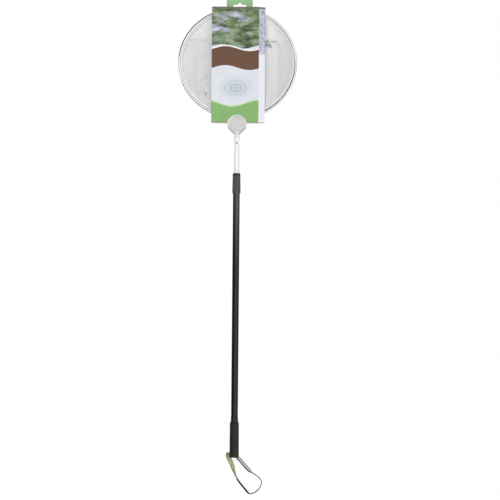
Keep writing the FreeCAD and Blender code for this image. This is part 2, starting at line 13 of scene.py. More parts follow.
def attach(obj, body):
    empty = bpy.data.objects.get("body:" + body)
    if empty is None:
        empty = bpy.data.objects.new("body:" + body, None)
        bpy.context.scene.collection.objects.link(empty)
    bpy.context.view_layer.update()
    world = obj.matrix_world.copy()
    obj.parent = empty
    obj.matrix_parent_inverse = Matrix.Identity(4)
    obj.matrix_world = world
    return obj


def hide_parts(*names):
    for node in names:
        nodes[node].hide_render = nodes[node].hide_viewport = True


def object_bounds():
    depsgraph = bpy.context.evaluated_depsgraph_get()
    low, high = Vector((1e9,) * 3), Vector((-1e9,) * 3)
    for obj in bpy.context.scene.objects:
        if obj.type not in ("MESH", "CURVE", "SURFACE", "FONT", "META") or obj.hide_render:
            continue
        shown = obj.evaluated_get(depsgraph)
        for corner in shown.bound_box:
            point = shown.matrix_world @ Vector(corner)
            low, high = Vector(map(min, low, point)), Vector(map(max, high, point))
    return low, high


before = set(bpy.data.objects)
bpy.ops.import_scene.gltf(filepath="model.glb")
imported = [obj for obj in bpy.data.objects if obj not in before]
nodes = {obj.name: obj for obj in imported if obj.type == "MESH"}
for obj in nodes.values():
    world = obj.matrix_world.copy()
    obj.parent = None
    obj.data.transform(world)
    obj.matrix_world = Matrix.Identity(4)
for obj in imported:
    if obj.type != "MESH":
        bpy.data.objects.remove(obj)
cad_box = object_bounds()
MM = 0.001

# Places and sizes that the solids have too: half the width and half the height of hoop and bag first

hoop_a, hoop_b = 0.1715, 0.161
bag_a, bag_b = 0.167, 0.1565
hoop_centre = Vector((0.0, 0.0, 0.2196))
hem_start_x = 0.03175
bag_front_y = 0.0006
seam_rise = 0.066
bracket_z = 0.038
pin_z = -0.9325
fold_z = 0.3844
card_right = 0.0625
pole_travel = 0.532

# Wrist strap: the points of its line, right of and above the pin, close to the solid's middle line

strap_width = 0.014
strap_thick = 0.0022
strap_length = 0.324
strap_route = [
    (-0.0010, 0.0029), (-0.0095, 0.0033), (-0.0196, 0.0012), (-0.0160, -0.0089),
    (-0.0074, -0.0260), (0.0005, -0.0490), (0.0095, -0.0734), (0.0220, -0.0888),
    (0.0350, -0.1046), (0.0432, -0.1140), (0.0475, -0.1162), (0.0555, -0.1142),
    (0.0660, -0.1092), (0.0755, -0.0995), (0.0808, -0.0880), (0.0818, -0.0780),
    (0.0762, -0.0690), (0.0655, -0.0605), (0.0530, -0.0530), (0.0410, -0.0433),
    (0.0298, -0.0306), (0.0185, -0.0166), (0.0085, -0.0086), (0.0034, -0.0049), (0.0029, 0.0003),
]
# How far the webbing is turned from edge-on at shares of its length, in degrees
strap_turns = [
    (0.0, 0), (0.025, 0), (0.06, 70), (0.12, 76), (0.16, 62), (0.19, 42), (0.215, 30),
    (0.245, 17), (0.28, 4), (0.32, 0), (0.76, 0), (0.81, -38), (0.95, -36), (0.985, 0), (1.0, 0),
]
# The stretch where the two ends lie on each other, sewn together, as shares of the length
overlap_start, overlap_end = 0.295, 0.465
overlap_layers = 2.1

# Camera: straight ahead, half_frame from the view's middle to its edge at the pole, and rolled so
# that the pole leans as it does in the photograph

camera_place = Vector((0.0416, -6.0, -0.330))
half_frame = 0.7365
camera_roll = math.radians(-0.5)


def make_camera():
    data = bpy.data.cameras.new("camera")
    data.angle = 2 * math.atan(half_frame / -camera_place.y)
    camera = bpy.data.objects.new("camera", data)
    bpy.context.scene.collection.objects.link(camera)
    turn = Matrix.Rotation(camera_roll, 4, "Y") @ Matrix.Rotation(math.radians(90), 4, "X")
    camera.matrix_world = Matrix.Translation(camera_place) @ turn
    data.clip_start, data.clip_end = 0.05, 50
    bpy.context.scene.camera = camera


make_camera()


# Node helpers


def srgb(r, g, b):
    """A colour as a screen shows it, 0 to 255, as the linear one that nodes take."""
    def linear(c):
        c /= 255
        return c / 12.92 if c <= 0.04045 else ((c + 0.055) / 1.055) ** 2.4
    return (linear(r), linear(g), linear(b), 1.0)


class Field:
    """A number that varies over a surface or the sky, with arithmetic that adds Math nodes."""

    def __init__(self, tree, socket):
        self.tree, self.socket = tree, socket

    def math(self, operation, *others, clamp=False):
        node = self.tree.nodes.new("ShaderNodeMath")
        node.operation, node.use_clamp = operation, clamp
        for slot, value in zip(node.inputs, (self, *others)):
            if isinstance(value, Field):
                self.tree.links.new(value.socket, slot)
            else:
                slot.default_value = value
        return Field(self.tree, node.outputs[0])

    def __add__(self, other):
        return self.math("ADD", other)

    def __sub__(self, other):
        return self.math("SUBTRACT", other)

    def __mul__(self, other):
        return self.math("MULTIPLY", other)

    def __truediv__(self, other):
        return self.math("DIVIDE", other)

    def sin(self):
        return self.math("SINE")

    def abs(self):
        return self.math("ABSOLUTE")

    def inverted(self):
        return (self * -1) + 1

    def above(self, edge, soft):
        """0 below the edge and 1 above it, with a soft step."""
        rise = (self - edge) / soft
        return rise.math("ADD", 0.5, clamp=True)

    def between(self, low, high, soft):
        """1 between two edges and 0 outside them, with soft steps."""
        return self.above(low, soft) * self.above(high, soft).inverted()

    def humps(self, spacing):
        """Rises from 0 to 1 and falls again once in each spacing."""
        return (self * (math.pi / spacing)).sin().abs()


class Finish:
    """One material: a Principled surface and short calls that add nodes to it."""

    def __init__(self, name, color, roughness, metallic=0.0, **sockets):
        self.material = bpy.data.materials.new(name)
        self.material.use_nodes = True
        self.tree = self.material.node_tree
        self.surface = self.tree.nodes["Principled BSDF"]
        self.set("Base Color", color)
        self.set("Roughness", roughness)
        self.set("Metallic", metallic)
        for socket, value in sockets.items():
            self.set(socket.replace("_", " "), value)
        coordinates = self.tree.nodes.new("ShaderNodeTexCoord").outputs["Object"]
        self.place = self.scaled(coordinates, 1000)
        split = self.tree.nodes.new("ShaderNodeSeparateXYZ")
        self.tree.links.new(self.place, split.inputs[0])
        self.x, self.y, self.z = (Field(self.tree, s) for s in split.outputs)

    def set(self, socket, value):
        if isinstance(value, Field):
            value = value.socket
        if isinstance(value, bpy.types.NodeSocket):
            self.tree.links.new(value, self.surface.inputs[socket])
        else:
            self.surface.inputs[socket].default_value = value

    def scaled(self, vector, scale):
        node = self.tree.nodes.new("ShaderNodeVectorMath")
        node.operation = "SCALE"
        self.tree.links.new(vector, node.inputs[0])
        node.inputs["Scale"].default_value = scale
        return node.outputs[0]

    def stretched(self, x, y, z):
        """The place in mm with each direction scaled on its own, for grain with a direction."""
        node = self.tree.nodes.new("ShaderNodeVectorMath")
        node.operation = "MULTIPLY"
        self.tree.links.new(self.place, node.inputs[0])
        node.inputs[1].default_value = (x, y, z)
        return node.outputs[0]

    def noise(self, size, detail=3.0, place=None, roughness=0.5):
        """Cloudy noise from 0 to 1, with features about size mm across."""
        node = self.tree.nodes.new("ShaderNodeTexNoise")
        self.tree.links.new(place or self.place, node.inputs["Vector"])
        node.inputs["Scale"].default_value = 1 / size
        node.inputs["Detail"].default_value = detail
        node.inputs["Roughness"].default_value = roughness
        return Field(self.tree, node.outputs[0])

    def stored(self, name):
        """A number that the mesh carries at its points."""
        node = self.tree.nodes.new("ShaderNodeAttribute")
        node.attribute_name = name
        return Field(self.tree, node.outputs["Fac"])

    def facing(self, axis):
        """How far the surface faces along a direction of the frame, from -1 to 1."""
        geometry = self.tree.nodes.new("ShaderNodeNewGeometry")
        node = self.tree.nodes.new("ShaderNodeVectorMath")
        node.operation = "DOT_PRODUCT"
        self.tree.links.new(geometry.outputs["True Normal"], node.inputs[0])
        node.inputs[1].default_value = axis
        return Field(self.tree, node.outputs["Value"])

    def mix(self, share, first, second):
        """first where share is 0 and second where it is 1; each a colour or a node's colour."""
        node = self.tree.nodes.new("ShaderNodeMix")
        node.data_type = "RGBA"
        for slot, value in zip((node.inputs[0], node.inputs[6], node.inputs[7]), (share, first, second)):
            if isinstance(value, Field):
                value = value.socket
            if isinstance(value, bpy.types.NodeSocket):
                self.tree.links.new(value, slot)
            else:
                slot.default_value = value
        return node.outputs[2]

    def bump(self, height, depth):
        """Raises the surface by depth mm where height is 1."""
        node = self.tree.nodes.new("ShaderNodeBump")
        node.inputs["Distance"].default_value = depth * MM
        self.tree.links.new(height.socket, node.inputs["Height"])
        self.tree.links.new(node.outputs[0], self.surface.inputs["Normal"])

    def ranged(self, field, low, high):
        """A field of 0 to 1 spread from low to high."""
        return field * (high - low) + low


# Finishes


def brushed_metal(name, color, dark, roughness, metallic, streak, top_color=None):
    """Drawn or anodised tube: fine streaks along Z and cloudy gloss, paler up the pole if asked."""
    f = Finish(name, color, roughness, metallic)
    streaks = f.noise(0.5, 2.0, f.stretched(1, 1, 0.02))
    clouds = f.noise(14, 4.0)
    shade = f.mix(streaks * 0.5 + clouds * 0.5, dark, color)
    if top_color:
        paler_z, paler_over = -290, 190
        shade = f.mix(f.z.above(paler_z, paler_over), shade, top_color)
    f.set("Base Color", shade)
    f.set("Roughness", f.ranged(clouds * 0.6 + streaks * 0.4, roughness - 0.07, roughness + 0.1))
    f.bump(streaks, streak)
    return f.material


def moulded(name, color, second, roughness, grain_size, grain, **sockets):
    """Moulded plastic or rubber: fine spark texture, faint flow clouds, worn gloss."""
    f = Finish(name, color, roughness, **sockets)
    clouds = f.noise(9, 4.0)
    f.set("Base Color", f.mix(clouds, color, second))
    spark = f.noise(grain_size, 2.0)
    f.set("Roughness", f.ranged(clouds, roughness - 0.06, roughness + 0.08))
    f.bump(spark, grain)
    return f.material


def bracket_finish():
    """Pale plastic, with painted shade greying the disc's top, paler at the neck, and a painted shade line
    along the front edge of the flanks, where the shells draw in to the neck."""
    f = Finish("pale_plastic", srgb(208, 208, 205), 0.42)
    clouds = f.noise(9, 4.0)
    shaded_top_z, neck_z = 57, 17
    pale = f.mix(clouds, srgb(204, 204, 203), srgb(196, 196, 196))
    # painted shade: the disc greyer towards its top
    pale = f.mix(f.z.above(shaded_top_z, 16) * 0.5, pale, srgb(176, 180, 173))
    pale = f.mix(f.z.above(neck_z, 8).inverted(), pale, srgb(222, 222, 222))
    # each flank slopes in from beside the disc down to its foot, and faces out along flank_out
    flank_x, flank_z, flank_foot_z, front_y = 27.3, 28, 9.5, -7.2
    flank_out, shade_line_width = (0.669, -0.744), 2.4
    # painted shade: a dark line along the front edge of each flank, on the front shell only
    outside = (f.x.abs() - flank_x) * flank_out[0] + (f.z - flank_z) * flank_out[1]
    line = outside.above(-shade_line_width, 1.2) * f.z.between(flank_foot_z, flank_z + 0.5, 2.0)
    line = line * f.y.above(front_y, 0.6).inverted()
    f.set("Base Color", f.mix(line, pale, srgb(82, 82, 82)))
    f.set("Roughness", f.ranged(clouds, 0.36, 0.5))
    f.bump(f.noise(0.5, 2.0), 0.03)
    return f.material


def collar_finish():
    """Dark plastic with faint paler clouds and a darker rim at the mouth."""
    f = Finish("collar_plastic", srgb(76, 70, 76), 0.45, Specular_IOR_Level=0.35)
    clouds = f.noise(9, 4.0)
    rim_z = -111
    worn = f.mix(clouds, srgb(80, 74, 80), srgb(70, 65, 70))
    f.set("Base Color", f.mix(f.z.above(rim_z, 3.0), worn, srgb(40, 37, 40)))
    f.set("Roughness", f.ranged(clouds, 0.39, 0.53))
    f.bump(f.noise(0.5, 2.0), 0.03)
    return f.material


def net_finish():
    """Fine netting: a knot every 0.65 mm both ways, slightly uneven. Painted light makes it paler towards
    its top, and painted shade darkens it in the creases and folds that the mesh carries."""
    f = Finish("net_mesh", srgb(214, 214, 216), 0.75, Sheen_Weight=0.25, Sheen_Roughness=0.5)
    drift = f.noise(22, 2.0) * 1.6
    pitch = 0.65
    knots = (f.x + drift).humps(pitch).math("MINIMUM", (f.z + drift * 0.7).humps(pitch))
    seam_z, painted_light_z, paler_over = (hoop_centre.z + seam_rise) / MM, 325, 60
    below = f.mix(f.noise(30, 3.0), srgb(206, 206, 208), srgb(218, 218, 219))
    # painted light: the cloth paler towards its top
    top = f.mix(f.z.above(painted_light_z, paler_over), srgb(219, 219, 217), srgb(241, 241, 238))
    cloth = f.mix(f.z.above(seam_z, 8), below, top)
    # painted shade in the creases and folds, as the mesh carries it
    cloth = f.mix(f.stored("painted_crease_shade"), cloth, srgb(66, 72, 82))
    f.set("Base Color", f.mix(knots * 0.35, cloth, srgb(248, 248, 250)))
    f.bump(knots, 0.12)
    return f.material


def tape_finish(name, color, shade, stitch_across, tinted):
    """Narrow woven tape with a line of stitches along it. tinted colours the weave by its place; on the
    hem it paints shade and a highlight.
    """
    f = Finish(name, color, 0.7, Sheen_Weight=0.2)
    along, across = f.stored("along"), f.stored("across")
    weave = along.humps(0.4) * across.humps(0.35)
    stitch_pitch, stitch_half_width = 3.2, 0.35
    stitch_line = (across - stitch_across).abs().above(stitch_half_width, 0.2).inverted()
    stitch = stitch_line * (along * (2 * math.pi / stitch_pitch)).sin().above(-0.4, 0.4)
    woven = tinted(f, across, f.mix(weave, shade, color))
    f.set("Base Color", f.mix(stitch, woven, srgb(250, 250, 250)))
    f.bump(weave * 0.4 + stitch, 0.2)
    return f.material


def hem_painted_light(f, across, woven):
    """Painted shade where the tape leaves the hoop, most of all low down, and a painted white highlight on
    its free edge there.
    """
    low_z, low_over, crease_across = 190, 120, 4.9
    low = f.z.above(low_z, low_over).inverted()
    free_edge = across.above(crease_across, 0.4)
    # painted highlight: the free edge white low on the hoop
    woven = f.mix(free_edge * low, woven, srgb(255, 255, 255))
    # painted shade where the tape leaves the hoop, darkest low down
    return f.mix(free_edge.inverted() * f.ranged(low, 0.2, 0.8), woven, srgb(96, 96, 100))


def seam_tinted(f, _, woven):
    """Paler at its right end, with painted shade before that, where the cloth beside it is creased."""
    paler_x, shade_start, shade_end = 108, 98, 114
    woven = f.mix(f.x.above(paler_x, 12), woven, srgb(224, 224, 222))
    # painted shade along the stretch where the cloth is creased
    return f.mix(f.x.between(shade_start, shade_end, 4) * 0.6, woven, srgb(92, 98, 106))


def webbing_finish():
    """Flat webbing with slanting ribs 1.1 mm apart: green on one face, with painted shade near the handle,
    pale on the other, with dark selvedges, and painted shade over the stretch where it is sewn double."""
    f = Finish("webbing", srgb(165, 178, 128), 0.7, Sheen_Weight=0.08, Sheen_Roughness=0.5)
    along, across = f.stored("along"), f.stored("across")
    rib_pitch, rib_slant = 1.1, 0.55
    rib = (along * (math.pi / rib_pitch) + across * rib_slant).sin().abs()
    fine = across.humps(0.45)
    pale_side = f.stored("side").above(0, 0.3)
    edge_across, edge_wider_pale, shaded_along = 6.0, 2.6, 26
    edge = (across.abs() + pale_side * edge_wider_pale).above(edge_across, 0.6)
    clouds = f.noise(7, 3.0)
    green = f.mix(clouds, srgb(150, 164, 110), srgb(186, 198, 148))
    # painted shade on the green face near the handle
    green = f.mix(along.above(shaded_along, 22).inverted() * 0.55, green, srgb(84, 96, 58))
    green = f.mix(rib * 0.4, green, srgb(116, 128, 84))
    pale = f.mix(rib * 0.35, srgb(214, 216, 212), srgb(168, 170, 164))
    face = f.mix(pale_side, green, pale)
    color = f.mix(edge, face, f.mix(rib * 0.5, srgb(34, 36, 31), srgb(56, 59, 50)))
    # painted shade over the stretch sewn double
    sewn = along.between(strap_length / MM * overlap_start, strap_length / MM * overlap_end, 0.4)
    color = f.mix(sewn, color, f.mix(rib * 0.5, srgb(26, 28, 24), srgb(44, 47, 40)))
    f.set("Base Color", color)
    f.bump(rib * 0.7 + fine * 0.3, 0.25)
    return f.material


def print_finish():
    """Printed card, from the top: still water, a warm band, a drop's rings and a green foot."""
    f = Finish("printed_card", srgb(228, 230, 237), 0.38, Specular_IOR_Level=0.3)
    drift = f.noise(26, 3.0)
    x, z = f.x, f.z
    cut_edge_z, foot_z, foot_crest_z, flap_print_z, top_fold_z = 45.3, 100, 104, 246, 379
    band_z, band_rim_z, band_top_z, water_z = 206, 262, 266, 268
    sharp = 0.8
    # a drop's rings on pale ground, wider than they are tall
    rings_x, rings_z, rings_wider = -4, 146, 1.5
    wide, tall = (x - rings_x) / rings_wider, z - rings_z
    reach = (wide * wide + tall * tall).math("SQRT")
    fade = reach.above(20, 34).inverted()
    rings = ((reach * 0.62 + drift * 2).sin().above(0.1, 1.6) * 0.55 + 0.45) * fade
    pale = f.mix(f.noise(40, 2.0), srgb(211, 214, 223), srgb(225, 226, 233))
    color = f.mix(rings, pale, srgb(158, 178, 190))
    # still pond water: green deeps and the pale sky that lies on it
    deeps = f.noise(20, 6.0, f.stretched(0.45, 0, 1.0), 0.6)
    water = f.mix(deeps.above(0.44, 0.16), srgb(52, 66, 48), srgb(112, 132, 92))
    water = f.mix(deeps.above(0.56, 0.12), water, srgb(150, 168, 142))
    sky = f.noise(34, 6.0, f.stretched(0.4, 3, 1.0), 0.62)
    water = f.mix(sky.above(0.56, 0.07) * 0.9, water, srgb(172, 170, 194))
    water = f.mix(sky.above(0.63, 0.05) * 0.8, water, srgb(214, 216, 226))
    water_edge = z + (x * 0.05 + 0.7).sin() * 6
    color = f.mix(water_edge.above(water_z, sharp), color, water)
    # warm band with a white rim above it
    band_edge = z + (x * 0.045).sin() * 7
    warm = f.mix(f.noise(5, 4.0), srgb(108, 78, 60), srgb(98, 70, 52))
    color = f.mix(band_edge.between(band_z, band_rim_z, sharp), color, warm)
    color = f.mix(band_edge.between(band_rim_z, band_top_z, sharp), color, srgb(240, 241, 244))
    # green foot with a lighter crest
    foot_edge = z + (x * 0.04 + 2.2).sin() * 9
    foot = f.mix(f.noise(30, 2.0), srgb(124, 168, 98), srgb(138, 180, 114))
    color = f.mix(foot_edge.above(foot_z, sharp).inverted(), color, foot)
    color = f.mix(foot_edge.between(foot_z, foot_crest_z, sharp), color, srgb(190, 214, 174))
    # side flap: mottled lavender above, plain below
    mottles = f.noise(7, 4.0, f.stretched(1, 0, 0.6)).above(0.54, 0.2)
    mottled = f.mix(mottles, srgb(196, 194, 210), srgb(146, 148, 168))
    flap = f.mix(z.above(flap_print_z, 1.0), srgb(227, 229, 235), mottled)
    color = f.mix(x.above(card_right / MM + 0.3, 0.6), color, flap)
    # grey board at the cut lower edge, painted darker than the board as shade along that edge
    color = f.mix(z.above(cut_edge_z, sharp).inverted(), color, srgb(132, 134, 130))
    # dark line along the top fold
    color = f.mix(z.above(top_fold_z, 1.0), color, srgb(112, 104, 92))
    # the inner side is bare grey board
    inside = f.facing((0, 1, 0)).above(0.5, 0.1)
    color = f.mix(inside, color, srgb(214, 212, 206))
    f.set("Base Color", color)
    f.set("Roughness", f.ranged(f.noise(18, 3.0), 0.32, 0.46))
    f.bump(f.noise(0.35, 2.0) * 0.4 + f.noise(55, 1.0), 0.35)
    return f.material


def board_finish():
    """Back panel: grey board behind, and a green print on the side of the tab that faces ahead."""
    f = Finish("card_back", srgb(224, 223, 219), 0.6)
    fibres = f.noise(0.8, 4.0, f.stretched(1, 1, 0.4))
    board = f.mix(fibres, srgb(214, 212, 206), srgb(232, 231, 227))
    tab = f.z.above(fold_z / MM, 0.4) * f.facing((0, 1, 0)).above(0.5, 0.1).inverted()
    green = f.mix(f.noise(25, 2.0), srgb(146, 186, 130), srgb(160, 195, 148))
    f.set("Base Color", f.mix(tab, board, green))
    f.bump(fibres, 0.05)
    return f.material


def make_finishes():
    return {
        "hoop": brushed_metal("hoop_metal", srgb(252, 252, 253), srgb(242, 242, 244), 0.17, 1.0, 0.0),
        "pole": brushed_metal("inner_tube_metal", srgb(244, 244, 245), srgb(236, 236, 238), 0.45, 0.1,
                              0.003),
        "dark": brushed_metal("dark_tube_metal", srgb(54, 51, 56), srgb(48, 45, 50), 0.3, 0.8, 0.001,
                              srgb(86, 81, 87)),
        "steel": brushed_metal("steel_wire", srgb(176, 176, 178), srgb(148, 148, 151), 0.3, 1.0, 0.004),
        "bracket": bracket_finish(),
        "spigot": moulded("neck_plastic", srgb(226, 226, 224), srgb(218, 218, 216), 0.4, 0.5, 0.03),
        "lip": moulded("lip_plastic", srgb(244, 244, 243), srgb(238, 238, 237), 0.36, 0.5, 0.02),
        "white": moulded("white_plastic", srgb(240, 240, 238), srgb(230, 230, 228), 0.4, 0.6, 0.02),
        "black": moulded("black_plastic", srgb(30, 29, 30), srgb(24, 23, 24), 0.4, 0.5, 0.03),
        "collar": collar_finish(),
        "grip": moulded("grip_rubber", srgb(41, 38, 39), srgb(34, 31, 32), 0.45, 0.6, 0.02,
                        Specular_IOR_Level=0.22),
        "net": net_finish(),
        "hem": tape_finish("hem_tape_woven", srgb(228, 228, 230), srgb(214, 214, 217), 6.6, hem_painted_light),
        "seam": tape_finish("seam_tape_woven", srgb(216, 216, 214), srgb(198, 198, 198), 0.0,
                            seam_tinted),
        "webbing": webbing_finish(),
        "print": print_finish(),
        "board": board_finish(),
    }


finishes = make_finishes()

node_finishes = {
    "hoop": "hoop", "inner_tube": "pole", "outer_tube": "dark",
    "bracket_front": "bracket", "bracket_rear": "bracket", "spigot": "spigot",
    "bracket_screws": "steel", "spigot_rivet": "steel", "stop_pip": "white",
    "strap_pin": "steel", "sleeve_staples": "steel",
    "stop_sleeve": "white", "wiper_ring": "white",
    "inner_bush": "black", "collet": "black", "end_plug": "black",
    "lock_collar": "collar", "grip": "grip",
    "sleeve_front": "print", "sleeve_back": "board",
}
for name, finish in node_finishes.items():
    nodes[name].data.materials.clear()
    nodes[name].data.materials.append(finishes[finish])


# Mesh helpers


def add_piece(name, points, faces, finish, body, replaced, stored=None):
    """A smooth-shaded mesh in the frame's own coordinates, riding on a body."""
    mesh = bpy.data.meshes.new(name)
    mesh.from_pydata(points, [], faces)
    mesh.update()
    mesh.materials.append(finishes[finish])
    mesh.shade_smooth()
    for key, values in (stored or {}).items():
        mesh.attributes.new(key, "FLOAT", "POINT").data.foreach_set("value", values)
    piece = bpy.data.objects.new(name, mesh)
    bpy.context.scene.collection.objects.link(piece)
    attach(piece, body)
    if replaced:
        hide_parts(*replaced)
    return piece


def ring_faces(rings, size, ends=True):
    """Quads between neighbouring rings of points, and a flat face over the first ring and the last."""
    faces = []
    for i in range(rings - 1):
        a, b = i * size, (i + 1) * size
        faces += [(a + j, a + (j + 1) % size, b + (j + 1) % size, b + j) for j in range(size)]
    if ends:
        faces.append(tuple(range(size))[::-1])
        faces.append(tuple(range((rings - 1) * size, rings * size)))
    return faces


def oval_line(count, start_x):
    """Points, outward directions and lengths along the hoop's centre line: four tangent arcs, taken
    from its foot at start_x round to the same place at the left."""
    shift = (hoop_a - hoop_b) * (1 + math.sqrt(0.5))
    flat_r, side_r = hoop_b + shift, hoop_a - shift
    start = math.degrees(math.asin(start_x / flat_r))
    arcs = [
        (0, shift, flat_r, start - 90, -45),
        (shift, 0, side_r, -45, 45),
        (0, -shift, flat_r, 45, 135),
        (-shift, 0, side_r, 135, 225),
        (0, shift, flat_r, 225, 270 - start),
    ]
    total = sum(r * math.radians(last - first) for _, _, r, first, last in arcs)
    rounding = 1e-9
    line = []
    for i in range(count):
        left = total * i / (count - 1)
        for x, z, r, first, last in arcs:
            long = r * math.radians(last - first)
            if left <= long + rounding:
                break
            left -= long
        angle = math.radians(first) + left / r
        out = Vector((math.cos(angle), 0, math.sin(angle)))
        line.append((hoop_centre + Vector((x, 0, z)) + out * r, out, total * i / (count - 1)))
    return line


def smooth_line(route):
    """Points read from a NURBS spline whose control points are the route's."""
    curve = bpy.data.curves.new("route", "CURVE")
    curve.dimensions = "3D"
    curve.resolution_u = 10
    spline = curve.splines.new("NURBS")
    spline.points.add(len(route) - 1)
    for point, place in zip(spline.points, route):
        point.co = (*place, 1)
    spline.order_u = 3
    spline.use_endpoint_u = True
    holder = bpy.data.objects.new("route", curve)
    bpy.context.scene.collection.objects.link(holder)
    mesh = bpy.data.meshes.new_from_object(holder)
    line = [v.co.copy() for v in mesh.vertices]
    bpy.data.objects.remove(holder)
    return line


def at_share(table, share):
    """A value from a table of (share, value), eased between its rows."""
    for (low, a), (high, b) in zip(table, table[1:]):
        if share <= high:
            t = (share - low) / (high - low)
            return a + (b - a) * t * t * (3 - 2 * t)
    return table[-1][1]


def make_strap():
    """The wrist strap's webbing along its line, twisted where strap_turns says and sewn double."""
    line = smooth_line([(x, 0.0, pin_z + z) for x, z in strap_route])
    long = [0.0]
    for a, b in zip(line, line[1:]):
        long.append(long[-1] + (b - a).length)
    half, thick, thinner = strap_width / 2, strap_thick / 2, 0.85
    # a selvedge: how far in from the side, and how thick there as a share of the webbing
    selvedge = [(0.0004, 0.9), (0.0014, 1.0), (0.003, thinner)]
    face = [(w - half, t) for w, t in selvedge] + [(0, thinner)]
    face += [(half - w, t) for w, t in reversed(selvedge)]
    outline = [(-half, 0), *((w, thick * t) for w, t in face)]
    outline += [(half, 0), *((w, -thick * t) for w, t in reversed(face))]
    points, along, across, side = [], [], [], []
    for i, place in enumerate(line):
        share = long[i] / long[-1]
        ahead = (line[min(i + 1, len(line) - 1)] - line[max(i - 1, 0)]).normalized()
        turn = math.radians(at_share(strap_turns, share))
        wide = Matrix.Rotation(turn, 3, ahead) @ Vector((0, 1, 0))
        up = wide.cross(ahead)
        layers = overlap_layers if overlap_start < share < overlap_end else 1.0
        for w, t in outline:
            points.append(place + wide * w + up * t * layers)
            along.append(long[i] / MM)
            across.append(w / MM)
            side.append(t / thick)
    faces = ring_faces(len(line), len(outline))
    strap = add_piece("strap", points, faces, "webbing", "handle", ["wrist_strap"],
                      {"along": along, "across": across, "side": side})


make_strap()


# Net bag

# Share of the half width, then how deep the cloth hangs below the seam, above it and at it, in mm
bag_slices = [
    (-1.0, 1.5, 1.5, 1.5), (-0.93, 8, 4, 5), (-0.70, 23, 14, 13), (-0.52, 17, 14, 11),
    (-0.44, 13, 12, 9), (0.36, 13, 12, 9), (0.52, 18, 15, 12), (0.72, 25, 15, 14),
    (0.93, 9, 4, 5), (1.0, 1.5, 1.5, 1.5),
]
# Rise and fall of the seam: right of the pole and above the seam's straight line, in mm
seam_waves = [
    (-170, 13), (-150, 11), (-140, 4), (-112, 3), (-98, 0), (-80, -8), (-40, -3), (0, 1),
    (60, -3), (90, -5), (98, 0), (114, 0), (122, -8), (139, -9), (170, -2),
]
# Folds: from x, z to x, z above the hoop's centre, half width and height towards the viewer, in mm
bag_folds = [
    (-84, -24, -106, -46, 4.8, -2.4),
    (-79, -40, -109, -58, 4.0, 2.6),
    (-110, -60, -92, -88, 3.6, -2.4),
    (-95, -84, -90, -93, 2.6, -4.0),
    (-88, -66, -82, -96, 4.0, 1.8),
    (-140, -20, -136, -92, 3.6, -2.6),
    (-131, -28, -127, -90, 6.0, 1.8),
    (-86, -104, -124, -88, 5.0, 1.6),
    (-82, -116, -108, -112, 4.0, -1.6),
    (-150, 34, -152, -34, 6.0, 1.6),
    (-128, 34, -90, 20, 8.0, 1.4),
    (-120, 92, -84, 104, 6.0, 1.4),
    (-138, 82, -84, 84, 4.0, 1.2),
    (82, 30, 84, -136, 4.0, 2.0),
    (97, 42, 96, -128, 4.2, -2.0),
    (106, 36, 107, -116, 5.0, 1.1),
    (116, 26, 113, -60, 4.0, -1.2),
    (134, 30, 131, -58, 7.0, 1.4),
    (81, 63, 87, 51, 1.9, -4.0),
    (87, 65, 93, 53, 1.9, -4.0),
    (92, 58, 98, 46, 1.9, -4.0),
    (84, 66, 90, 53, 1.8, 3.0),
    (89, 62, 95, 51, 1.8, 3.0),
    (95, 67, 117, 66, 2.6, -3.0),
    (120, 57, 122, 57, 2.2, -3.0),
    (138, 57, 140, 57, 2.0, -2.6),
    (112, 80, 124, 58, 5.0, 1.6),
]
# Painted shade in the creases and folds of the cloth: from x, z to x, z, half width in mm, and how much
bag_painted_crease_shade = [
    (-109, -58, -94, -84, 2.8, 0.1),
    (-94, -86, -91, -91, 2.4, 0.5),
    (-84, -26, -108, -54, 3.4, 0.06),
    (-139, -30, -137, -70, 2.4, 0.13),
    (-137, -70, -133, -96, 2.4, 0.07),
    (81, 66, 87, 52, 2.9, 1.0),
    (88, 68, 94, 53, 3.0, 1.0),
    (93, 60, 98, 50, 2.8, 0.9),
    (98, 66, 114, 67, 3.4, 0.32),
    (120, 58, 122, 57, 2.8, 0.34),
    (138, 57, 141, 57, 2.8, 0.26),
    (96, 40, 95, -110, 3.0, 0.05),
    (120, 20, 113, -90, 3.5, 0.05),
    (-90, 110, -160, 30, 5.0, 0.03),
    (-150, -30, -108, -96, 20.0, 0.045),
]


def slice_depths(share):
    """The depths of bag_slices at a share of the half width, straight between its rows."""
    for (low, *a), (high, *b) in zip(bag_slices, bag_slices[1:]):
        if share <= high:
            t = (share - low) / (high - low)
            return [p + (q - p) * t for p, q in zip(a, b)]
    return bag_slices[-1][1:]


def rim_height(share):
    """Half the bag's height at a share of its half width."""
    return bag_b * math.sqrt(max(0.0, 1 - share * share))


def seam_height(share):
    """Height of the seam above the hoop's centre, kept a tenth below the bag's rim."""
    wave = at_share(seam_waves, share * bag_a / MM) * MM
    return min(seam_rise + wave, 0.9 * rim_height(share))


def through(t, middle_t, middle, end):
    """A parabola from 0 at t 0 through middle to end at t 1."""
    bend = (middle - end * middle_t) / (middle_t * (middle_t - 1))
    return end * t + bend * t * (t - 1)


def beside_line(x, z, x0, z0, x1, z1, wide):
    """How far along a line a place in metres lies, from 0 to 1, and how far beside it as a multiple
    of wide. The line and wide are in mm."""
    start, run = Vector((x0, z0)), Vector((x1 - x0, z1 - z0))
    here = Vector((x / MM, z / MM)) - start
    t = max(0.0, min(1.0, here.dot(run) / run.length_squared))
    return t, (here - run * t).length / wide


def fold_height(x, z):
    """Height of the folds at a place, in metres: x, and z above the hoop's centre."""
    flank_power, end_share = 1.4, 0.4
    total = 0.0
    for *line, high in bag_folds:
        t, aside = beside_line(x, z, *line)
        crest = end_share + (1 - end_share) * math.sin(math.pi * (0.12 + 0.76 * t))
        total += high * math.exp(-aside ** flank_power) * crest
    return total * MM


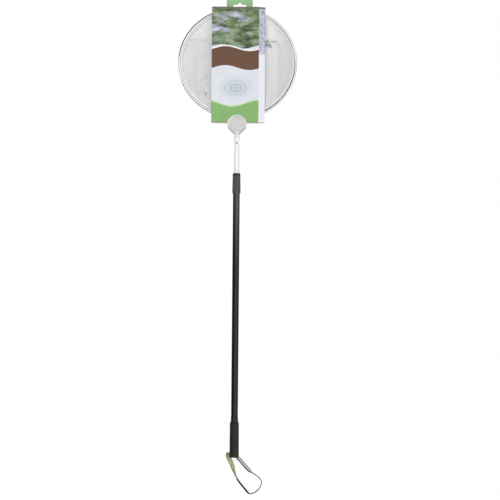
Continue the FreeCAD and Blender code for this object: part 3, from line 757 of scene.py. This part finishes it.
def painted_crease_shade_cloth(x, z):
    """How much painted shade a place gets, from 0, none, to 1, the darkest crease."""
    total = 0.0
    for *line, much in bag_painted_crease_shade:
        total = max(total, much * math.exp(-beside_line(x, z, *line)[1] ** 2))
    return total


def bag_depth(x, z):
    """How far behind the hoop the cloth lies at x, and z above the hoop's centre."""
    low_middle_t, high_middle_t, smallest = 0.42, 0.45, 1e-4
    share = max(-1.0, min(1.0, x / bag_a))
    low_depth, high_depth, seam_depth = slice_depths(share)
    half = max(smallest, rim_height(share))
    seam = seam_height(share)
    if z <= seam:
        t = max(0.0, (z + half) / (seam + half))
        return through(t, low_middle_t, low_depth, seam_depth) * MM
    t = max(0.0, (half - z) / (half - seam))
    return through(t, high_middle_t, high_depth, seam_depth) * MM


def gather_height(angle, inwards):
    """Height of the small pleats along the hem; inwards is how far from the rim, as a share."""
    pleats, unevenness, high, fade, start = 64, 2, 0.0005, 0.08, 0.02
    wave = math.sin(angle * pleats + unevenness * math.sin(angle * 7)) * high
    return wave * math.exp(-(inwards / fade) ** 2) * min(1.0, inwards / start)


def make_bag():
    """The net's cloth in rings of points from its rim to its middle, with folds, ripples and pleats.
    The points lie closest at the rim and at the sides, where the folds show."""
    rings, around = 100, 400
    closer_at_rim, closer_at_sides, fold_fade = 1.15, 0.22, 0.09
    ripples_across, ripples_up, ripple_high = 55, 22, 0.0012
    points, painted_crease_shade = [], []
    for i in range(rings):
        inwards = (i / (rings - 1)) ** closer_at_rim
        for j in range(around):
            angle = 2 * math.pi * j / around
            angle -= closer_at_sides * math.sin(2 * angle)
            x = bag_a * (1 - inwards) * math.cos(angle)
            z = bag_b * (1 - inwards) * math.sin(angle)
            ripple = noise.noise(Vector((x * ripples_across, z * ripples_up, 3.1))) * ripple_high
            folds = (fold_height(x, z) + ripple) * min(1.0, inwards / fold_fade)
            y = bag_front_y + bag_depth(x, z) - folds - gather_height(angle, inwards)
            points.append(Vector((x, y, hoop_centre.z + z)))
            # painted shade in the creases, carried by the mesh
            painted_crease_shade.append(painted_crease_shade_cloth(x, z))
    faces = ring_faces(rings - 1, around, ends=False)
    last, middle = (rings - 2) * around, (rings - 1) * around
    faces += [(last + j, last + (j + 1) % around, middle) for j in range(around)]
    return add_piece("net_cloth", points[: middle + 1], faces, "net", "head", ["net_bag"],
                     {"painted_crease_shade": painted_crease_shade[: middle + 1]})


bag = make_bag()


def make_hem():
    """The bead and the tape that leaves it, one closed outline along the hoop, with a wavy free edge."""
    line = oval_line(240, hem_start_x)
    thick, loose_from, tip = 0.00045, 0.004, 0.0082
    waves_per_metre, wave_high, wave_back = 60, 0.0006, 0.4
    # inwards from the hoop's centre line, then backwards, in metres
    outline = [
        (-0.0002, 0.0021), (-0.0018, 0.0012), (-0.0021, 0.0), (-0.0018, -0.0012),
        (-0.0002, -0.0021), (0.0014, -0.0016), (0.0024, -thick), (0.0050, -thick),
        (tip - 0.0003, -thick), (tip, 0.0), (tip - 0.0003, thick), (0.0050, thick),
        (0.0024, thick), (0.0014, 0.0016),
    ]
    points, along, across = [], [], []
    for place, out, long in line:
        wave = noise.noise(Vector((long * waves_per_metre, 0.3, 7.7))) * wave_high
        for inwards, back in outline:
            moved = wave * max(0.0, (inwards - loose_from) / (tip - loose_from))
            points.append(place - out * (inwards + moved) + Vector((0, back + wave_back * moved, 0)))
            along.append(long / MM)
            across.append(inwards / MM)
    faces = ring_faces(len(line), len(outline))
    add_piece("hem", points, faces, "hem", "head", ["hem_tape", "bead_cord"],
              {"along": along, "across": across})


make_hem()


def make_seam():
    """The closed end of the bag: a narrow tape that follows the cloth in slow waves."""
    steps, first_share, last_share = 120, -0.86, 0.88
    waves_per_metre, wave_high = 60, 0.0012
    # above the tape's middle line, then towards the viewer from its back, in mm
    outline = [(-1.6, 0.0), (-1.6, 0.5), (0.0, 0.9), (1.6, 0.5), (1.6, 0.0)]
    clear_of_cloth = 0.4
    points, along, across = [], [], []
    for i in range(steps + 1):
        share = first_share + (last_share - first_share) * i / steps
        x = bag_a * share
        middle = seam_height(share) + noise.noise(Vector((x * waves_per_metre, 5.2, 0))) * wave_high
        for w, t in outline:
            z = middle + w * MM
            y = bag_front_y + bag_depth(x, z) - fold_height(x, z) - (clear_of_cloth + t) * MM
            points.append(Vector((x, y, hoop_centre.z + z)))
            along.append(x / MM)
            across.append(w)
    faces = ring_faces(steps + 1, len(outline))
    add_piece("seam", points, faces, "seam", "head", ["seam_tape"],
              {"along": along, "across": across})


make_seam()


def make_lip():
    """Raised lip round the bracket's disc, forward to the card's notch, sinking away at both ends."""
    # outward from the disc's centre, then y, in mm
    profile = [
        (26.4, -8.4), (27.2, -9.0), (27.9, -10.1), (28.3, -11.4), (28.7, -11.9),
        (29.1, -11.7), (29.2, -10.6), (29.0, -9.2), (28.6, -8.2), (27.5, -8.0),
    ]
    root_reach, root_y = 27.4, -8.2
    steps, end_steps, first, last = 96, 9, -16.0, 196.0
    points = []
    for i in range(steps + 1):
        angle = math.radians(first + (last - first) * i / steps)
        grown = min(1.0, min(i, steps - i) / end_steps)
        # at its ends the lip is half as wide and a tenth as high
        for reach, y in profile:
            radius = (root_reach + (reach - root_reach) * (0.5 + 0.5 * grown)) * MM
            rise = (root_y + (y - root_y) * (0.1 + 0.9 * math.sin(grown * math.pi / 2))) * MM
            points.append((radius * math.cos(angle), rise, bracket_z + radius * math.sin(angle)))
    faces = ring_faces(steps + 1, len(profile))
    add_piece("bracket_lip", points, faces, "lip", "head", [])


make_lip()


# Floor, sky and lamps


def make_floor():
    """A plain disc that stays clear of the pole's foot when the pole is fully drawn out."""
    sides, reach, room_below = 96, 0.9, 0.07
    z = cad_box[0].z - pole_travel - room_below
    angles = [2 * math.pi * i / sides for i in range(sides)]
    points = [(reach * math.cos(angle), reach * math.sin(angle), z) for angle in angles]
    mesh = bpy.data.meshes.new("floor")
    mesh.from_pydata(points, [], [tuple(range(sides))])
    f = Finish("floor_paint", srgb(240, 240, 240), 0.7, Emission_Color=(1, 1, 1, 1), Emission_Strength=0.7)
    f.set("Base Color", f.mix(f.noise(90, 3.0), srgb(238, 238, 238), srgb(243, 243, 243)))
    mesh.materials.append(f.material)
    floor = bpy.data.objects.new("floor", mesh)
    bpy.context.scene.collection.objects.link(floor)


def make_sky():
    """White for the camera. For scattered light it is a wide bright cone ahead and to the right and a
    small one behind, with a faint band at the object's height. For mirrored light it is dark at the
    upper left and has a low glow behind, which draws the edges of the metal."""
    world = bpy.data.worlds.new("studio")
    bpy.context.scene.world = world
    world.use_nodes = True
    tree = world.node_tree
    background = tree.nodes["Background"]
    direction = tree.nodes.new("ShaderNodeTexCoord").outputs["Generated"]
    split = tree.nodes.new("ShaderNodeSeparateXYZ")
    tree.links.new(direction, split.inputs[0])
    right, back, up = (Field(tree, s) for s in split.outputs)
    left, front, down = right * -1, back * -1, up * -1
    # where each part of the sky lies
    bright_way = Vector((0.44, -0.90, 0.0)).normalized()
    towards = right * bright_way.x + back * bright_way.y + up * bright_way.z
    ahead = towards.above(0.56, 0.24)
    behind = (towards * -1).above(0.92, 0.12)
    level = up.abs().above(0.32, 0.2).inverted() * front.above(0.05, 0.5)
    low_back = down.between(0.14, 0.6, 0.1) * back.above(0.35, 0.5)
    upper_left = up.above(0.07, 0.1) * left.above(0.07, 0.1)
    # how bright each part is
    scattered = (ahead * 0.9).math("MAXIMUM", level * 0.2) + behind * 0.5 + 0.035
    gleam = (ahead * 1.16).math("MAXIMUM", level * 0.06) * upper_left.inverted()
    mirrored = gleam + behind * up.above(0.12, 0.12).inverted() * 0.4 + low_back * 0.75 + 0.02
    path = tree.nodes.new("ShaderNodeLightPath").outputs
    camera_ray, glossy_ray = Field(tree, path["Is Camera Ray"]), Field(tree, path["Is Glossy Ray"])
    light = scattered * glossy_ray.inverted() + mirrored * glossy_ray
    strength = light * camera_ray.inverted() + camera_ray
    tree.links.new(strength.socket, background.inputs["Strength"])
    background.inputs["Color"].default_value = (1, 1, 1, 1)


def hang_light(name, place, aim_height, shape, power):
    """An area light aimed at the pole's line at a height."""
    data = bpy.data.lights.new(name, "AREA")
    data.shape, data.energy = shape, power
    light = bpy.data.objects.new(name, data)
    bpy.context.scene.collection.objects.link(light)
    way = (Vector((0, 0, aim_height)) - Vector(place)).to_track_quat("-Z", "Y")
    light.matrix_world = Matrix.Translation(place) @ way.to_matrix().to_4x4()
    return light


def add_lamp(name, place, size, power, shadow=True):
    """A round soft lamp that lights surfaces and leaves no gleam; the sky draws the gleams."""
    lamp = hang_light(name, place, -0.2, "DISK", power)
    lamp.data.size = size
    lamp.data.use_shadow = shadow
    lamp.visible_glossy = False


def add_card(name, place, wide, high, power):
    """A white card that only mirrors see, at the hoop's height."""
    card = hang_light(name, place, place[2], "RECTANGLE", power)
    card.data.size, card.data.size_y = wide, high
    card.visible_camera = card.visible_diffuse = False


make_floor()
make_sky()
add_lamp("key", (-1.4, -4.3, 0.6), 2.2, 66)
add_lamp("fill_left", (-4.2, -1.6, 0.2), 1.8, 38, shadow=False)
add_lamp("fill_right", (3.6, -2.6, 0.2), 1.8, 32, shadow=False)
add_lamp("back_right", (2.4, 2.2, 0.6), 2.0, 75)
add_lamp("back_left", (-2.6, 2.2, 1.2), 2.0, 60)
add_card("card_left", (-1.0, 0, 0.2), 1.4, 0.45, 1.5)
bpy.context.scene.view_settings.view_transform = "Standard"
